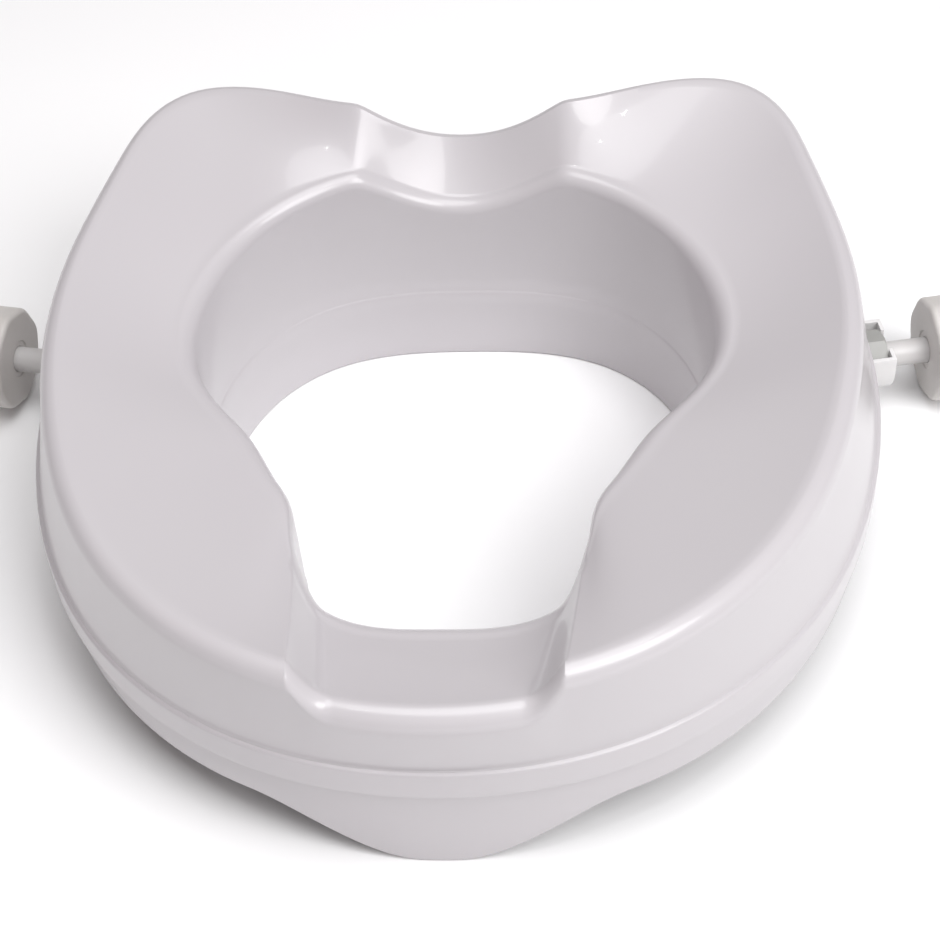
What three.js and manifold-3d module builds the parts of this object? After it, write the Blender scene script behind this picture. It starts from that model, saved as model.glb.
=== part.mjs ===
// Raised toilet seat with two screw clamps, in millimetres, +Z up.
// The front of the seat faces -Y, and the lowest edge of its skirts lies on z = 0.
import * as THREE from "three";
import { mergeVertices } from "three/addons/utils/BufferGeometryUtils.js";
import Module from "manifold-3d";

const wasm = await Module();
wasm.setup();

// Outlines in plan: radius at an angle counted from the front, the same on both sides.
const OUTER_OUTLINE = [
  [0, 180.1],
  [28, 181.5],
  [56, 181.9],
  [84, 185.1],
  [110, 200.5],
  [130, 224.5],
  [145, 239.1],
  [162, 190.3],
  [180, 182.6],
];
const INNER_OUTLINE = [
  [0, 114.4],
  [24, 114.6],
  [33, 106.1],
  [42, 91.6],
  [56, 84.7],
  [78, 88.9],
  [100, 114.2],
  [125, 133.5],
  [152, 140.5],
  [180, 135.2],
];
const PLAN_SHIFT_Y = -8.1;

// Heights of the seat moulding.
const BAND_BASE_Z = 47;
const BAND_HEIGHT = 14.5;
const OUTER_EDGE_Z = { front: 113.6, side: 115.9, back: 133.7 };
const DISH_DEPTH = 21.1;
const DISH_SAG = 1;
const TOP_INSET = { front: -2.1, side: 11.7, back: 13.4 };
const OUTER_ROUND = 8;
const INNER_ROUND = { front: 10, side: 10, back: 7 };
const WALL = 3.6;

// Dips: the front one is narrower towards the front, the back one is a bowl between two ridges.
const FRONT_DIP = { depth: 15.8, halfWidth: 57.5, from: 100, drawIn: 0.085 };
const FRONT_RAMP = { width: 10, spread: 0.08, power: 0.65 };
const BACK_DIP = { depth: 23.3, halfWidth: 48.6, ridge: 2.4, reach: 1.4 };

// The inner outline runs ahead of the outer one near each dip, so that stations follow its
// sides: by what share, up to what angle in full, and the angle where it ends.
const FRONT_LEAD = { share: 0.68, full: 18, end: 75 };
const BACK_LEAD = { share: 0.37, full: 16, end: 60 };

// Flange band and the skirts below it.
const BAND_STEP = 2.2;
const BAND_ROUND = 1.2;
const SKIRT_INSET = 3.6;
const SIDE_SKIRT_DROP = 20.2;
const BACK_SKIRT_DROP = 3.4;
const BACK_SKIRT_FROM = 128;
const BACK_SKIRT_TO = 148;
const TONGUE = { halfWidth: 42, halfRamp: 35.6 };
const INNER_TAPER = 4.6;
const INNER_STEP = 0.8;
const INNER_STEP_Z = 38.5;

// Ribs and rest pads beneath the seat.
const RIB_ANGLES = [24, 44, 74, 92, 138, 154];
const PADDED_RIBS = [44, 138];
const RIB_THICK = 2.8;
const RIB_LENGTH = 130;
const RIB_CENTRE_RADIUS = 165;
const RIB_BASE_Z = 49;
const PAD_PLATE = { length: 30, width: 18, height: 3.4 };
const PAD_RADIUS = { 44: 146, 138: 186 };
const PAD = { length: 28, width: 16, height: 3 };
const REST_Z = 43;
const GAP = 0.3;

// Clamp axis: level, and square to the skirt where it passes it.
const CLAMP_TILT = 10;
const CLAMP_FOOT = { x: 3.37, y: 59.45 };
const CLAMP_Z = 27;

// Bracket, along (a), across (b) and up (c) from the clamp axis.
const CRADLE = { outer: 14.9, inner: 12.95, top: 10, from: 181.5, end: 203 };
const END_PLATE = 1.7;
const SHANK_NOTCH = 6.8;
const STOP_PLATE = { from: 187.2, to: 190.1, top: 6 };
const TROUGH_TOP = -0.7;
const LEG = { from: 172.8, to: 176.2, hole: 6.6 };
const TAB = { from: 156, base: 20.3, height: 4 };
const FIXING = { along: 164, across: 9, boss: 4.6, pilot: 1.9, shank: 1.6, clear: 2.1 };
const FIXING_HEAD = { radius: 3.6, height: 2.2 };
const FIXING_LENGTH = 15;

// Nut, clamp screw, knob and pressure foot.
const NUT = { corner: 12.7, from: 190.4, to: 200.9, bore: 5.9, turn: 45, chamfer: 0.9 };
const SCREW = { thread: 5.75, shank: 6.2, tip: 4, tipFrom: 144.6, threadFrom: 152.6 };
const SHANK_FROM = 201.2;
const SHANK_TO = 236;
const KNOB = { from: 222, to: 242, radius: 24.6, lobe: 0.5, lobes: 8, bore: 6.5, boreTo: 236.4 };
const KNOB_ROUND = { inner: 2.6, outer: 4 };
const FOOT = { radius: 12, from: 138.8, flangeTo: 144.2, hub: 7.5, hubTo: 152.3, bore: 4.12 };
const FOOT_PAD = { radius: 11.4, from: 135.5, to: 138.5 };

const white = { color: 0xe6e3e6, roughness: 0.22, metalness: 0 };
const knobWhite = { color: 0xd2cdca, roughness: 0.4, metalness: 0 };
const greyPlastic = { color: 0xa9a9a6, roughness: 0.45, metalness: 0 };
const steel = { color: 0xb4b6b8, roughness: 0.35, metalness: 1 };
const rubber = { color: 0x55575a, roughness: 0.8, metalness: 0 };

const radians = THREE.MathUtils.degToRad;

function smoothstep(t) {
  const s = THREE.MathUtils.clamp(t, 0, 1);
  return s * s * (3 - 2 * s);
}

// A cubic curve with steady curvature through [angle, value] stations, level at both ends.
function smoothThrough(stations) {
  const last = stations.length - 1;
  const step = [];
  const rise = [];
  for (let i = 0; i < last; i++) {
    step.push(stations[i + 1][0] - stations[i][0]);
    rise.push((stations[i + 1][1] - stations[i][1]) / step[i]);
  }
  const slope = stations.map(() => 0);
  for (let pass = 0; pass < 60; pass++) {
    for (let i = 1; i < last; i++) {
      const before = (3 * rise[i - 1] - slope[i - 1]) / step[i - 1];
      const after = (3 * rise[i] - slope[i + 1]) / step[i];
      slope[i] = (before + after) / (2 / step[i - 1] + 2 / step[i]);
    }
  }
  return (angle) => {
    let i = 0;
    while (i < last - 1 && angle > stations[i + 1][0]) i++;
    const t = (angle - stations[i][0]) / step[i];
    const bend0 = slope[i] * step[i];
    const bend1 = slope[i + 1] * step[i];
    const h = 3 * t * t - 2 * t * t * t;
    const start = t * (1 - t) * (1 - t) * bend0;
    const end = t * t * (t - 1) * bend1;
    return stations[i][1] * (1 - h) + stations[i + 1][1] * h + start + end;
  };
}

const outerRadius = smoothThrough(OUTER_OUTLINE);
const innerRadius = smoothThrough(INNER_OUTLINE);

// A value that changes from front to side to back with the squared cosine of the angle.
function around(values, angle) {
  const c = Math.cos(radians(angle));
  const end = c > 0 ? values.front : values.back;
  return values.side + (end - values.side) * c * c;
}

// Depth of the front dip: a short ridge, then a cove down to the flat floor.
function frontDip(point, extra) {
  const ahead = -point.y - FRONT_DIP.from;
  const edge = FRONT_DIP.halfWidth + extra - FRONT_DIP.drawIn * ahead;
  const ramp = FRONT_RAMP.width + FRONT_RAMP.spread * Math.max(ahead, 0);
  const t = THREE.MathUtils.clamp((edge - Math.abs(point.x)) / ramp, 0, 1);
  return (FRONT_DIP.depth * (1 - Math.cos(Math.PI * t ** FRONT_RAMP.power))) / 2;
}

// Depth of the back dip: a bowl that ends at a soft ridge on each side.
function backDip(point, extra) {
  const bowl = (share) => {
    const level = BACK_DIP.depth * Math.cos((share * Math.PI) / 2);
    return (level + Math.hypot(level, BACK_DIP.ridge)) / 2;
  };
  const share = Math.abs(point.x) / (BACK_DIP.halfWidth + extra);
  return bowl(Math.min(share, BACK_DIP.reach)) - bowl(BACK_DIP.reach);
}

function dipAt(point, extra) {
  return point.y < 0 ? frontDip(point, extra) : backDip(point, extra);
}

// The angle, moved ahead by a share that fades out.
function leadBy(lead, angle) {
  const fade = 1 - smoothstep((angle - lead.full) / (lead.end - lead.full));
  return angle * (1 + lead.share * fade);
}

// Radial station of the seat: where it meets both outlines and the heights there.
function station(angle) {
  const innerAngle = angle < 90 ? leadBy(FRONT_LEAD, angle) : 180 - leadBy(BACK_LEAD, 180 - angle);
  const polar = (a, r) => new THREE.Vector2(r * Math.sin(radians(a)), -r * Math.cos(radians(a)));
  const outer = polar(angle, outerRadius(angle));
  const inner = polar(innerAngle, innerRadius(innerAngle));
  const inward = inner.clone().sub(outer).normalize();
  const outerZ = around(OUTER_EDGE_Z, angle);
  const innerZ = around(OUTER_EDGE_Z, innerAngle) - DISH_DEPTH;
  const inset = around(TOP_INSET, angle);
  const innerRound = around(INNER_ROUND, innerAngle);
  return { angle, outer, inner, inward, outerZ, innerZ, inset, innerRound };
}

// Points of the seat's skin from the wall's foot over the top to the inner wall, at a depth
// below the outer surface.
function skin(s, depth, corner, topCount) {
  const points = [];
  const fromOuter = (inset) => s.outer.clone().addScaledVector(s.inward, inset);
  const fromInner = (outset) => s.inner.clone().addScaledVector(s.inward, -outset);
  const rimZ = s.outerZ - dipAt(fromOuter(s.inset), depth);
  const holeZ = s.innerZ - dipAt(s.inner, depth);
  const outerR = OUTER_ROUND - depth;
  const innerR = s.innerRound - depth;
  for (let i = 0; i <= corner; i++) {
    const a = (i / corner) * (Math.PI / 2);
    const inset = s.inset + OUTER_ROUND - outerR * Math.cos(a);
    const z = rimZ - OUTER_ROUND + outerR * Math.sin(a);
    points.push([fromOuter(inset), z]);
  }
  const start = fromOuter(s.inset + OUTER_ROUND);
  const finish = fromInner(s.innerRound);
  for (let i = 1; i <= topCount; i++) {
    const t = i / (topCount + 1);
    const p = start.clone().lerp(finish, t);
    const sag = 4 * DISH_SAG * t * (1 - t);
    const base = THREE.MathUtils.lerp(s.outerZ, s.innerZ, t);
    points.push([p, base - sag - dipAt(p, depth) - depth]);
  }
  for (let i = corner; i >= 0; i--) {
    const a = (i / corner) * (Math.PI / 2);
    const outset = s.innerRound - innerR * Math.cos(a);
    points.push([fromInner(outset), holeZ - s.innerRound + innerR * Math.sin(a)]);
  }
  return { points, fromOuter, fromInner, wallTop: holeZ - s.innerRound };
}

function skirtFootZ(s) {
  const back = smoothstep((s.angle - BACK_SKIRT_FROM) / (BACK_SKIRT_TO - BACK_SKIRT_FROM));
  const plain = THREE.MathUtils.lerp(SIDE_SKIRT_DROP, BACK_SKIRT_DROP, back);
  const reach = (Math.abs(s.outer.x) - TONGUE.halfWidth) / (2 * TONGUE.halfRamp) + 0.5;
  const front = s.outer.y < 0 ? 1 - smoothstep(reach) : 0;
  return BAND_BASE_Z - THREE.MathUtils.lerp(plain, BAND_BASE_Z, front);
}

// Closed section of the moulding: skirt, flange band, wall, dished top, inner skirt, then the
// same way back on the hollow side.
function shellSection(s) {
  const face = skin(s, 0, 3, 4);
  const back = skin(s, WALL, 2, 2);
  const foot = skirtFootZ(s);
  const bandTop = BAND_BASE_Z + BAND_HEIGHT;
  const stepShare = (face.wallTop - INNER_STEP_Z) / face.wallTop;
  const taperAtStep = -INNER_TAPER * stepShare;
  const innerFoot = -INNER_TAPER - INNER_STEP;
  return [
    [face.fromOuter(SKIRT_INSET), foot],
    [face.fromOuter(SKIRT_INSET), BAND_BASE_Z - BAND_ROUND],
    [face.fromOuter(BAND_ROUND), BAND_BASE_Z],
    [face.fromOuter(0), BAND_BASE_Z + BAND_ROUND],
    [face.fromOuter(0), bandTop - BAND_ROUND],
    [face.fromOuter(BAND_ROUND), bandTop],
    [face.fromOuter(BAND_STEP), bandTop + BAND_ROUND],
    ...face.points,
    [face.fromInner(taperAtStep), INNER_STEP_Z],
    [face.fromInner(taperAtStep - INNER_STEP), INNER_STEP_Z - INNER_STEP],
    [face.fromInner(innerFoot), 0],
    [face.fromInner(innerFoot + WALL), 0],
    ...back.points.reverse(),
    [face.fromOuter(SKIRT_INSET + WALL), bandTop],
    [face.fromOuter(SKIRT_INSET + WALL), foot],
  ];
}

// Solid section between mid-wall and the ribs' lower edge, which trims ribs and bosses.
function fillSection(s) {
  const core = skin(s, WALL / 2, 2, 2);
  const share = (core.wallTop - RIB_BASE_Z) / core.wallTop;
  return [
    [core.fromOuter(SKIRT_INSET + WALL / 2), RIB_BASE_Z],
    [core.fromOuter(SKIRT_INSET + WALL / 2), BAND_BASE_Z + BAND_HEIGHT],
    ...core.points,
    [core.fromInner(WALL / 2 - INNER_TAPER * share), RIB_BASE_Z],
  ];
}

// Angles of the stations on one side, closer together where the front dip's edge crosses.
function halfAngles() {
  const runs = [
    { to: 11, count: 2 },
    { to: 21, count: 7 },
    { to: 30, count: 2 },
    { to: 120, count: 13 },
    { to: 180, count: 15 },
  ];
  const angles = [0];
  let from = 0;
  for (const run of runs) {
    for (let i = 1; i <= run.count; i++) angles.push(from + ((run.to - from) * i) / run.count);
    from = run.to;
  }
  return angles;
}

// A ring whose tube takes the given section at each station.
function loft(section) {
  const half = halfAngles();
  const full = [...half, ...half.slice(1, -1).reverse().map((a) => 360 - a)];
  const rings = full.map((angle) => {
    const mirrored = angle > 180;
    const points = section(station(mirrored ? 360 - angle : angle));
    return points.map(([p, z]) => [mirrored ? -p.x : p.x, p.y, z]);
  });
  const sides = rings[0].length;
  const geometry = new THREE.TorusGeometry(2, 1, sides, full.length);
  const position = geometry.attributes.position;
  for (let j = 0; j <= sides; j++) {
    for (let i = 0; i <= full.length; i++) {
      const [x, y, z] = rings[i % full.length][j % sides];
      position.setXYZ(j * (full.length + 1) + i, x, y + PLAN_SHIFT_Y, z);
    }
  }
  return geometry;
}

function welded(geometry) {
  const bare = geometry.clone();
  bare.deleteAttribute("normal");
  bare.deleteAttribute("uv");
  return mergeVertices(bare, 1e-4);
}

function toSolid(geometry) {
  const bare = welded(geometry);
  const mesh = new wasm.Mesh({
    numProp: 3,
    vertProperties: Float32Array.from(bare.attributes.position.array),
    triVerts: Uint32Array.from(bare.index.array),
  });
  return new wasm.Manifold(mesh);
}

function toGeometry(solid) {
  const mesh = solid.getMesh();
  const geometry = new THREE.BufferGeometry();
  const position = new THREE.BufferAttribute(Float32Array.from(mesh.vertProperties), 3);
  geometry.setAttribute("position", position);
  geometry.setIndex(new THREE.BufferAttribute(Uint32Array.from(mesh.triVerts), 1));
  geometry.computeVertexNormals();
  return geometry;
}

function join(...geometries) {
  return toGeometry(geometries.map(toSolid).reduce((sum, next) => sum.add(next)));
}

function cut(body, ...tools) {
  return toGeometry(tools.map(toSolid).reduce((left, tool) => left.subtract(tool), toSolid(body)));
}

function common(body, tool) {
  return toGeometry(toSolid(body).intersect(toSolid(tool)));
}

// Box between two corners.
function block(low, high) {
  const size = high.map((h, i) => h - low[i]);
  const middle = high.map((h, i) => (h + low[i]) / 2);
  return new THREE.BoxGeometry(...size).translate(...middle);
}

// Round bar along X or Z.
function barX(radius, from, to, sides = 24) {
  const bar = new THREE.CylinderGeometry(radius, radius, to - from, sides);
  return bar.rotateZ(-Math.PI / 2).translate((from + to) / 2, 0, 0);
}

function barZ(radius, from, to, x, y, sides = 16) {
  const bar = new THREE.CylinderGeometry(radius, radius, to - from, sides);
  return bar.rotateX(Math.PI / 2).translate(x, y, (from + to) / 2);
}

// Turned shape about X from [along, radius] points that start and end on the axis.
function turnedX(profile, sides) {
  const points = profile.map(([along, radius]) => new THREE.Vector2(radius, along));
  return new THREE.LatheGeometry(points, sides).rotateZ(-Math.PI / 2);
}

// Places a clamp piece modelled about its own axis on the right or left of the seat.
function onClamp(geometry, side) {
  const placed = geometry.clone();
  placed.rotateZ(radians(CLAMP_TILT));
  placed.translate(CLAMP_FOOT.x, CLAMP_FOOT.y + PLAN_SHIFT_Y, CLAMP_Z);
  return side === "left" ? mirrorX(placed) : placed;
}

function mirrorX(geometry) {
  const mirrored = welded(geometry).scale(-1, 1, 1);
  const index = mirrored.index.array;
  for (let i = 0; i < index.length; i += 3) {
    [index[i], index[i + 1]] = [index[i + 1], index[i]];
  }
  mirrored.computeVertexNormals();
  return mirrored;
}

function ribPlate(angle, side) {
  const plate = new THREE.BoxGeometry(RIB_THICK, RIB_LENGTH, 2 * OUTER_EDGE_Z.back);
  plate.translate(0, -RIB_CENTRE_RADIUS, OUTER_EDGE_Z.back + RIB_BASE_Z);
  return plate.rotateZ(side * radians(angle)).translate(0, PLAN_SHIFT_Y, 0);
}

function padBlock(angle, side, size, base) {
  const pad = new THREE.BoxGeometry(size.width, size.length, size.height);
  pad.translate(0, -PAD_RADIUS[angle], base + size.height / 2);
  return pad.rotateZ(side * radians(angle)).translate(0, PLAN_SHIFT_Y, 0);
}

function seatShell() {
  const inside = [];
  for (const side of [-1, 1]) {
    for (const angle of RIB_ANGLES) inside.push(ribPlate(angle, side));
  }
  for (const side of ["left", "right"]) {
    for (const hand of [-1, 1]) {
      const base = TAB.base + TAB.height + GAP;
      const at = [FIXING.along, hand * FIXING.across];
      const boss = barZ(FIXING.boss, base, 2 * OUTER_EDGE_Z.back, ...at);
      inside.push(onClamp(boss, side));
    }
  }
  const trimmed = common(join(...inside), loft(fillSection));
  const plates = [];
  for (const side of [-1, 1]) {
    for (const angle of PADDED_RIBS) {
      plates.push(padBlock(angle, side, PAD_PLATE, REST_Z + PAD.height + GAP));
    }
  }
  const body = join(loft(shellSection), trimmed, ...plates);
  const cuts = [];
  for (const side of ["left", "right"]) {
    const slot = join(
      barX(SHANK_NOTCH, LEG.to, CRADLE.from + WALL),
      block([LEG.to, -SHANK_NOTCH, -CRADLE.outer], [CRADLE.from + WALL, SHANK_NOTCH, 0]),
    );
    cuts.push(onClamp(slot, side));
    for (const hand of [-1, 1]) {
      const top = TAB.base + TAB.height + FIXING_LENGTH;
      const pilot = barZ(FIXING.pilot, 0, top, FIXING.along, hand * FIXING.across, 12);
      cuts.push(onClamp(pilot, side));
    }
  }
  return cut(body, ...cuts);
}

// U shape open at the top, run along X.
function trough(radius, from, to, top) {
  const bottom = common(
    barX(radius, from, to, 32),
    block([from, -radius, -radius], [to, radius, Math.min(0, top)]),
  );
  if (top <= 0) return bottom;
  return join(bottom, block([from, -radius, -GAP], [to, radius, top]));
}

function bracket() {
  const leg = block([LEG.from, -CRADLE.outer, 0], [LEG.to, CRADLE.outer, TAB.base + TAB.height]);
  const tab = block(
    [TAB.from, -CRADLE.outer, TAB.base],
    [LEG.to, CRADLE.outer, TAB.base + TAB.height],
  );
  const outside = join(
    trough(CRADLE.outer, LEG.from, CRADLE.from + GAP, TROUGH_TOP),
    trough(CRADLE.outer, CRADLE.from, CRADLE.end, CRADLE.top),
    trough(CRADLE.outer, LEG.from, LEG.to, 1),
    leg,
    tab,
  );
  const hollowEnd = CRADLE.end - END_PLATE;
  const hollow = join(
    trough(CRADLE.inner, LEG.to, STOP_PLATE.from, CRADLE.outer + GAP),
    trough(CRADLE.inner, STOP_PLATE.to, hollowEnd, CRADLE.outer + GAP),
    trough(SHANK_NOTCH, STOP_PLATE.from - GAP, CRADLE.end + GAP, CRADLE.outer + GAP),
    block(
      [STOP_PLATE.from - GAP, -CRADLE.inner, STOP_PLATE.top],
      [STOP_PLATE.to + GAP, CRADLE.inner, CRADLE.outer + GAP],
    ),
  );
  const holes = [-1, 1].map((hand) =>
    barZ(FIXING.clear, TAB.base - GAP, TAB.base + TAB.height + GAP, FIXING.along, hand * FIXING.across),
  );
  return cut(outside, hollow, barX(LEG.hole, LEG.from - GAP, LEG.to + GAP), ...holes);
}

function bracketScrew(hand) {
  const headTop = TAB.base - GAP;
  const tip = TAB.base + TAB.height + FIXING_LENGTH - 1;
  const points = [
    [0, headTop - FIXING_HEAD.height],
    [FIXING_HEAD.radius - 1, headTop - FIXING_HEAD.height],
    [FIXING_HEAD.radius, headTop - 1],
    [FIXING_HEAD.radius, headTop],
    [FIXING.shank, headTop],
    [FIXING.shank, tip - 2],
    [0, tip],
  ];
  const shape = new THREE.LatheGeometry(points.map((p) => new THREE.Vector2(...p)), 12);
  return shape.rotateX(Math.PI / 2).translate(FIXING.along, hand * FIXING.across, 0);
}

function nut() {
  const half = NUT.corner - NUT.chamfer;
  const hexagon = turnedX(
    [
      [NUT.from, 0],
      [NUT.from, half],
      [NUT.from + NUT.chamfer, NUT.corner],
      [NUT.to - NUT.chamfer, NUT.corner],
      [NUT.to, half],
      [NUT.to, 0],
    ],
    6,
  );
  hexagon.rotateX(radians(NUT.turn));
  return cut(hexagon, barX(NUT.bore, NUT.from - GAP, NUT.to + GAP));
}

function clampScrew() {
  const profile = [
    [SCREW.tipFrom, 0],
    [SCREW.tipFrom, SCREW.tip],
    [SCREW.threadFrom, SCREW.tip],
    [SCREW.threadFrom, SCREW.thread],
    [SHANK_FROM, SCREW.thread],
    [SHANK_FROM, SCREW.shank],
    [SHANK_TO, SCREW.shank],
    [SHANK_TO, 0],
  ];
  return turnedX(profile, 24);
}

function knob() {
  const inner = KNOB_ROUND.inner;
  const outer = KNOB_ROUND.outer;
  const diagonal = 1 - Math.SQRT1_2;
  const profile = [
    [KNOB.boreTo, 0],
    [KNOB.boreTo, KNOB.bore],
    [KNOB.from, KNOB.bore],
    [KNOB.from, KNOB.radius - inner],
    [KNOB.from + inner * diagonal, KNOB.radius - inner * diagonal],
    [KNOB.from + inner, KNOB.radius],
    [KNOB.to - outer, KNOB.radius],
    [KNOB.to - outer * diagonal, KNOB.radius - outer * diagonal],
    [KNOB.to, KNOB.radius - outer],
    [KNOB.to, 0],
  ];
  const shape = turnedX(profile, 4 * KNOB.lobes);
  const position = shape.attributes.position;
  for (let i = 0; i < position.count; i++) {
    const y = position.getY(i);
    const z = position.getZ(i);
    if (Math.hypot(y, z) < 2 * KNOB.bore) continue;
    const swell = 1 + (KNOB.lobe / KNOB.radius) * Math.cos(KNOB.lobes * Math.atan2(z, y));
    position.setXYZ(i, position.getX(i), y * swell, z * swell);
  }
  return shape;
}

function foot() {
  const blind = SCREW.tipFrom - GAP;
  const profile = [
    [FOOT.from, 0],
    [FOOT.from, FOOT.radius],
    [FOOT.flangeTo - 1, FOOT.radius],
    [FOOT.flangeTo, FOOT.radius - 1],
    [FOOT.flangeTo, FOOT.hub],
    [FOOT.hubTo, FOOT.hub],
    [FOOT.hubTo, FOOT.bore],
    [blind, FOOT.bore],
    [blind, 0],
  ];
  return turnedX(profile, 24);
}

function footPad() {
  const edge = 0.8;
  const profile = [
    [FOOT_PAD.from, 0],
    [FOOT_PAD.from, FOOT_PAD.radius - edge],
    [FOOT_PAD.from + edge, FOOT_PAD.radius],
    [FOOT_PAD.to, FOOT_PAD.radius],
    [FOOT_PAD.to, 0],
  ];
  return turnedX(profile, 24);
}

const seat = new THREE.Group();

function add(name, geometry, look) {
  const mesh = new THREE.Mesh(geometry, new THREE.MeshStandardMaterial(look));
  mesh.name = name;
  seat.add(mesh);
}

add("seat_shell", seatShell(), white);
for (const [side, sign] of [["left", -1], ["right", 1]]) {
  for (const angle of PADDED_RIBS) {
    const place = angle < 90 ? "front" : "back";
    add(`rest_pad_${place}_${side}`, padBlock(angle, sign, PAD, REST_Z), rubber);
  }
  add(`${side}_bracket`, onClamp(bracket(), side), white);
  add(`${side}_bracket_screw_1`, onClamp(bracketScrew(-1), side), steel);
  add(`${side}_bracket_screw_2`, onClamp(bracketScrew(1), side), steel);
  add(`${side}_nut`, onClamp(nut(), side), greyPlastic);
  add(`${side}_screw`, onClamp(clampScrew(), side), greyPlastic);
  add(`${side}_knob`, onClamp(knob(), side), knobWhite);
  add(`${side}_foot`, onClamp(foot(), side), white);
  add(`${side}_foot_pad`, onClamp(footPad(), side), rubber);
}

export default seat;
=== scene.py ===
"""Raised toilet seat with two screw clamps: its visible surfaces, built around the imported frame.

Sizes in the formulas are in millimetres, in the frame's axes: the front of the seat faces -Y, +Z is up,
and the skirts stand on z = 0. The pieces of a clamp are modelled in its own axes and then placed: X
points outwards along the screw, Y across and Z up. Turned pieces are made along +Z, pointing outwards.
"""

import math

import bmesh
import bpy
from bpy.props import FloatProperty, FloatVectorProperty, IntProperty, PointerProperty
from mathutils import Matrix, Vector


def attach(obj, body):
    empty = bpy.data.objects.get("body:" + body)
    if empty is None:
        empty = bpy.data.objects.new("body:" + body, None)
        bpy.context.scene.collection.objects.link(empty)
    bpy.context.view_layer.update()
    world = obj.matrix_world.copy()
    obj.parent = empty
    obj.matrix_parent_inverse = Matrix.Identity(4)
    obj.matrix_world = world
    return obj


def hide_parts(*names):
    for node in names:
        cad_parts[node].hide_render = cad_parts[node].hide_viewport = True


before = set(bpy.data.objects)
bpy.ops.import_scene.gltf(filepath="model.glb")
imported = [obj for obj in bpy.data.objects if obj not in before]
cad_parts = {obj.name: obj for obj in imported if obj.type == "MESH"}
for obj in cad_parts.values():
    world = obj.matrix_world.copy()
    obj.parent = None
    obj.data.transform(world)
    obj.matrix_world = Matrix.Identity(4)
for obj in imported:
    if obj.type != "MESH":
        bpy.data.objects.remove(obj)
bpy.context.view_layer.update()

bl_info = {
    "name": "Raised toilet seat",
    "version": (1, 0, 0),
    "blender": (4, 5, 0),
    "location": "3D View > Sidebar > Raised seat",
    "description": "Builds a raised toilet seat with its clamps and a plain stage",
    "category": "Add Mesh",
}

MM = 0.001

# Outlines in plan: radius at an angle counted from the front, the same on both sides.
OUTER_OUTLINE = (
    (0, 180.1),
    (28, 181.5),
    (56, 181.9),
    (84, 185.1),
    (110, 200.5),
    (130, 224.5),
    (145, 239.1),
    (162, 190.3),
    (180, 182.6),
)
INNER_OUTLINE = (
    (0, 114.4),
    (24, 114.6),
    (33, 106.1),
    (42, 91.6),
    (56, 84.7),
    (78, 88.9),
    (100, 114.2),
    (125, 133.5),
    (152, 140.5),
    (180, 135.2),
)
PLAN_SHIFT_Y = -8.1

# Heights of the moulding: band foot, then the top outer edge at the front, side and back.
BAND_BASE_Z = 47
OUTER_EDGE_Z = (113.6, 115.9, 133.7)
TOP_INSET = (-2.1, 11.7, 13.4)
DISH_SAG = 1
INNER_ROUND_SHARE = (1, 1, 0.7)

# Dips: the front one is narrower towards the front, the back one is a bowl between two ridges.
FRONT_DIP_RAMP = 10
FRONT_DIP_SPREAD = 0.08
FRONT_DIP_POWER = 0.65
FRONT_DIP_DRAW_IN = 0.085
FRONT_DIP_FROM = 100
BACK_DIP_RIDGE = 2.4
BACK_DIP_REACH = 1.4

# The inner outline runs ahead of the outer one near each dip, so that stations follow its sides:
# by what share, up to what angle in full, and the angle where it ends.
FRONT_LEAD = (0.68, 18, 75)
BACK_LEAD = (0.37, 16, 60)

BAND_STEP = 2.2
BAND_ROUND = 1.2
SKIRT_INSET = 3.6
SIDE_SKIRT_DROP = 20.2
BACK_SKIRT_DROP = 3.4
BACK_SKIRT_FROM = 128
BACK_SKIRT_TO = 148
TONGUE_HALF_WIDTH = 42
TONGUE_HALF_RAMP = 35.6
INNER_TAPER = 4.6
INNER_STEP = 0.8
INNER_STEP_Z = 38.5
EDGE_ROUND = 0.9

RIB_ANGLES = (24, 44, 74, 92, 138, 154)
RIB_THICK = 2.8
RIB_LENGTH = 130
RIB_CENTRE_RADIUS = 165
RIB_BASE_Z = 49
PADDED_RIBS = {44: ("front", 146), 138: ("back", 186)}
PAD_PLATE = (18, 30, 3.4)
PAD = (16, 28, 3)
REST_Z = 43
GAP = 0.3

CLAMP_TILT = math.radians(10)
CLAMP_FOOT = (3.37, 59.45 + PLAN_SHIFT_Y)
CLAMP_Z = 27
SLOT_RADIUS = 6.8
CRADLE_OUTER = 14.9
CRADLE_INNER = 12.95
CRADLE_TOP = 10
CRADLE_FROM = 181.5
CRADLE_END = 203
END_PLATE = 1.7
STOP_PLATE = (187.2, 190.1)
STOP_PLATE_TOP = 6
TROUGH_TOP = -0.7
LEG = (172.8, 176.2)
TAB_FROM = 156
TAB_BASE = 20.3
TAB_TOP = 24.3
FIXING_ALONG = 164
FIXING_ACROSS = 9
FIXING_LENGTH = 15
SIDES = ("left", "right")

# Small steps of the moulding's section, with the number of points on its rounds and over its top.
SKIN_STEPS = (10, 18)
HOLLOW_SKIN_STEPS = (6, 9)
FILL_SKIN_STEPS = (4, 5)
WALL_FOOT_RISE = 2.4
BAND_CREASE = ((0.45, 0.25), (0.08, 0.95))
INNER_STEP_LIP = (0.25, 0.35)
INNER_STEP_FALL = 1.1

# Station runs from front to back, as (angle reached, count).
MOULDING_RUNS = ((9, 10), (23, 64), (60, 38), (112, 48), (122.5, 63), (155, 30), (180, 60))
RIB_FILL_RUNS = ((13.5, 4), (24, 12), (180, 60))

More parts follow.
